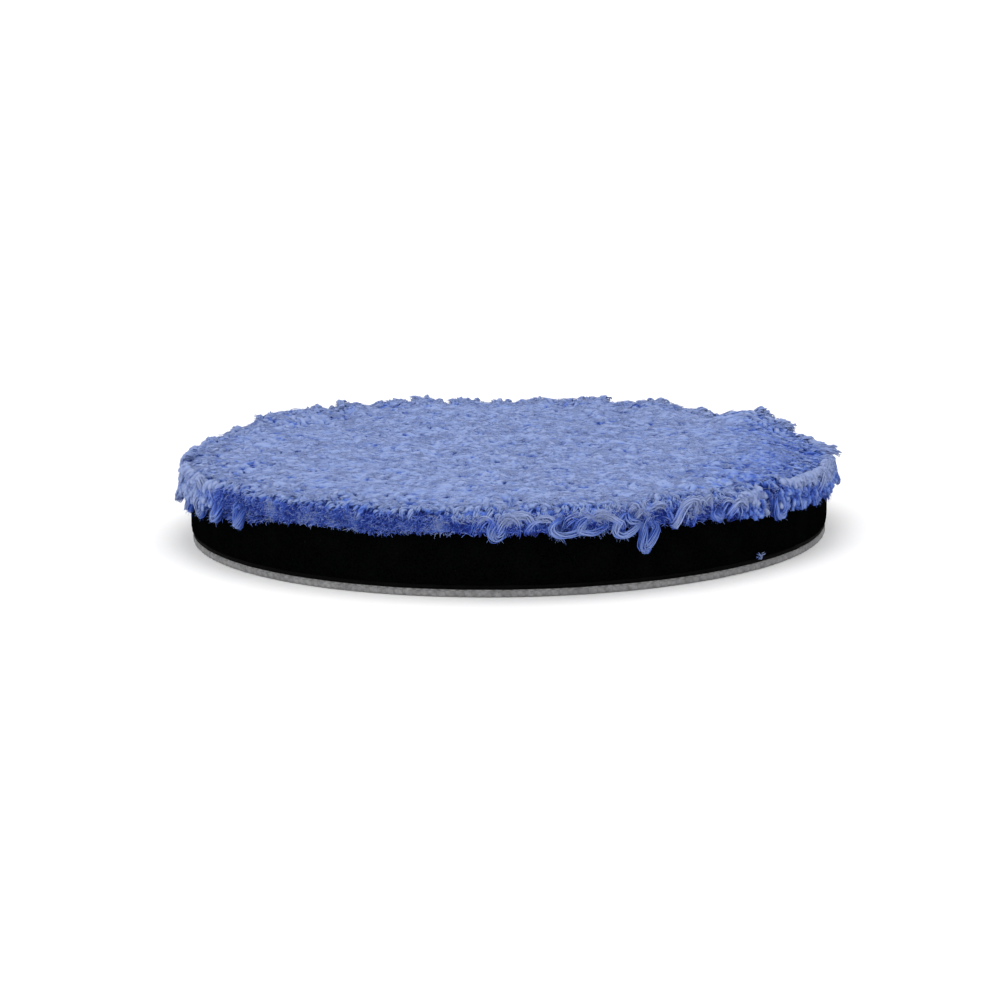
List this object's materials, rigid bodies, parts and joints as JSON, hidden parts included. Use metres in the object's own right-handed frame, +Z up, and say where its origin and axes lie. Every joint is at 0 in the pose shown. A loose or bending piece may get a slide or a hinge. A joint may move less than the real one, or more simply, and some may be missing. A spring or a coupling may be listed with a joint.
{
  "type": "polishing pad",
  "caption": "Round polishing pad with a long-yarn microfibre face on a foam disc, backed with loop cloth for a hook backing plate.",
  "frame": {"origin": "centre of the loop backing's bottom face, where the backing plate's hooks grip", "axes": "+Z up through the layers to the polishing face; -Y is the side that the picture looks at, +X to its right"},
  "size_m": [0.155, 0.155, 0.0197],
  "materials": {
    "loop_nap": "brushed loop pile, light grey",
    "backing_cloth": "knitted ground cloth, grey",
    "glue_film": "thin dark hot-melt film",
    "foam": "fine open-cell foam, matte black",
    "pile_cloth": "woven ground cloth, dark blue",
    "pile": "felted twisted microfibre yarns, periwinkle blue",
    "rim_yarn": "twisted microfibre yarn, blue"
  },
  "bodies": {
    "backing_and_foam": {"loop_nap": "loop_nap", "backing_cloth": "backing_cloth", "backing_glue_film": "glue_film", "foam_core": "foam"},
    "polishing_face": {"face_glue_film": "glue_film", "pile_cloth": "pile_cloth", "microfibre_pile": "pile", "rim_yarn_01": "rim_yarn", "rim_yarn_02": "rim_yarn", "rim_yarn_03": "rim_yarn", "rim_yarn_04": "rim_yarn", "rim_yarn_05": "rim_yarn", "rim_yarn_06": "rim_yarn", "rim_yarn_07": "rim_yarn", "rim_yarn_08": "rim_yarn", "rim_yarn_09": "rim_yarn", "rim_yarn_10": "rim_yarn", "rim_yarn_11": "rim_yarn", "rim_yarn_12": "rim_yarn", "rim_yarn_13": "rim_yarn", "rim_yarn_14": "rim_yarn", "rim_yarn_15": "rim_yarn", "rim_yarn_16": "rim_yarn", "rim_yarn_17": "rim_yarn", "rim_yarn_18": "rim_yarn", "rim_yarn_19": "rim_yarn", "rim_yarn_20": "rim_yarn", "rim_yarn_21": "rim_yarn", "rim_yarn_22": "rim_yarn", "rim_yarn_23": "rim_yarn", "rim_yarn_24": "rim_yarn"}
  },
  "joints": [
    {"name": "foam_press", "type": "slide", "parent": "backing_and_foam", "child": "polishing_face", "axis": [0, 0, 1], "range_m": [-0.005, 0], "stiffness_N_per_m": 20000, "deforming": ["foam_core"]}
  ]
}
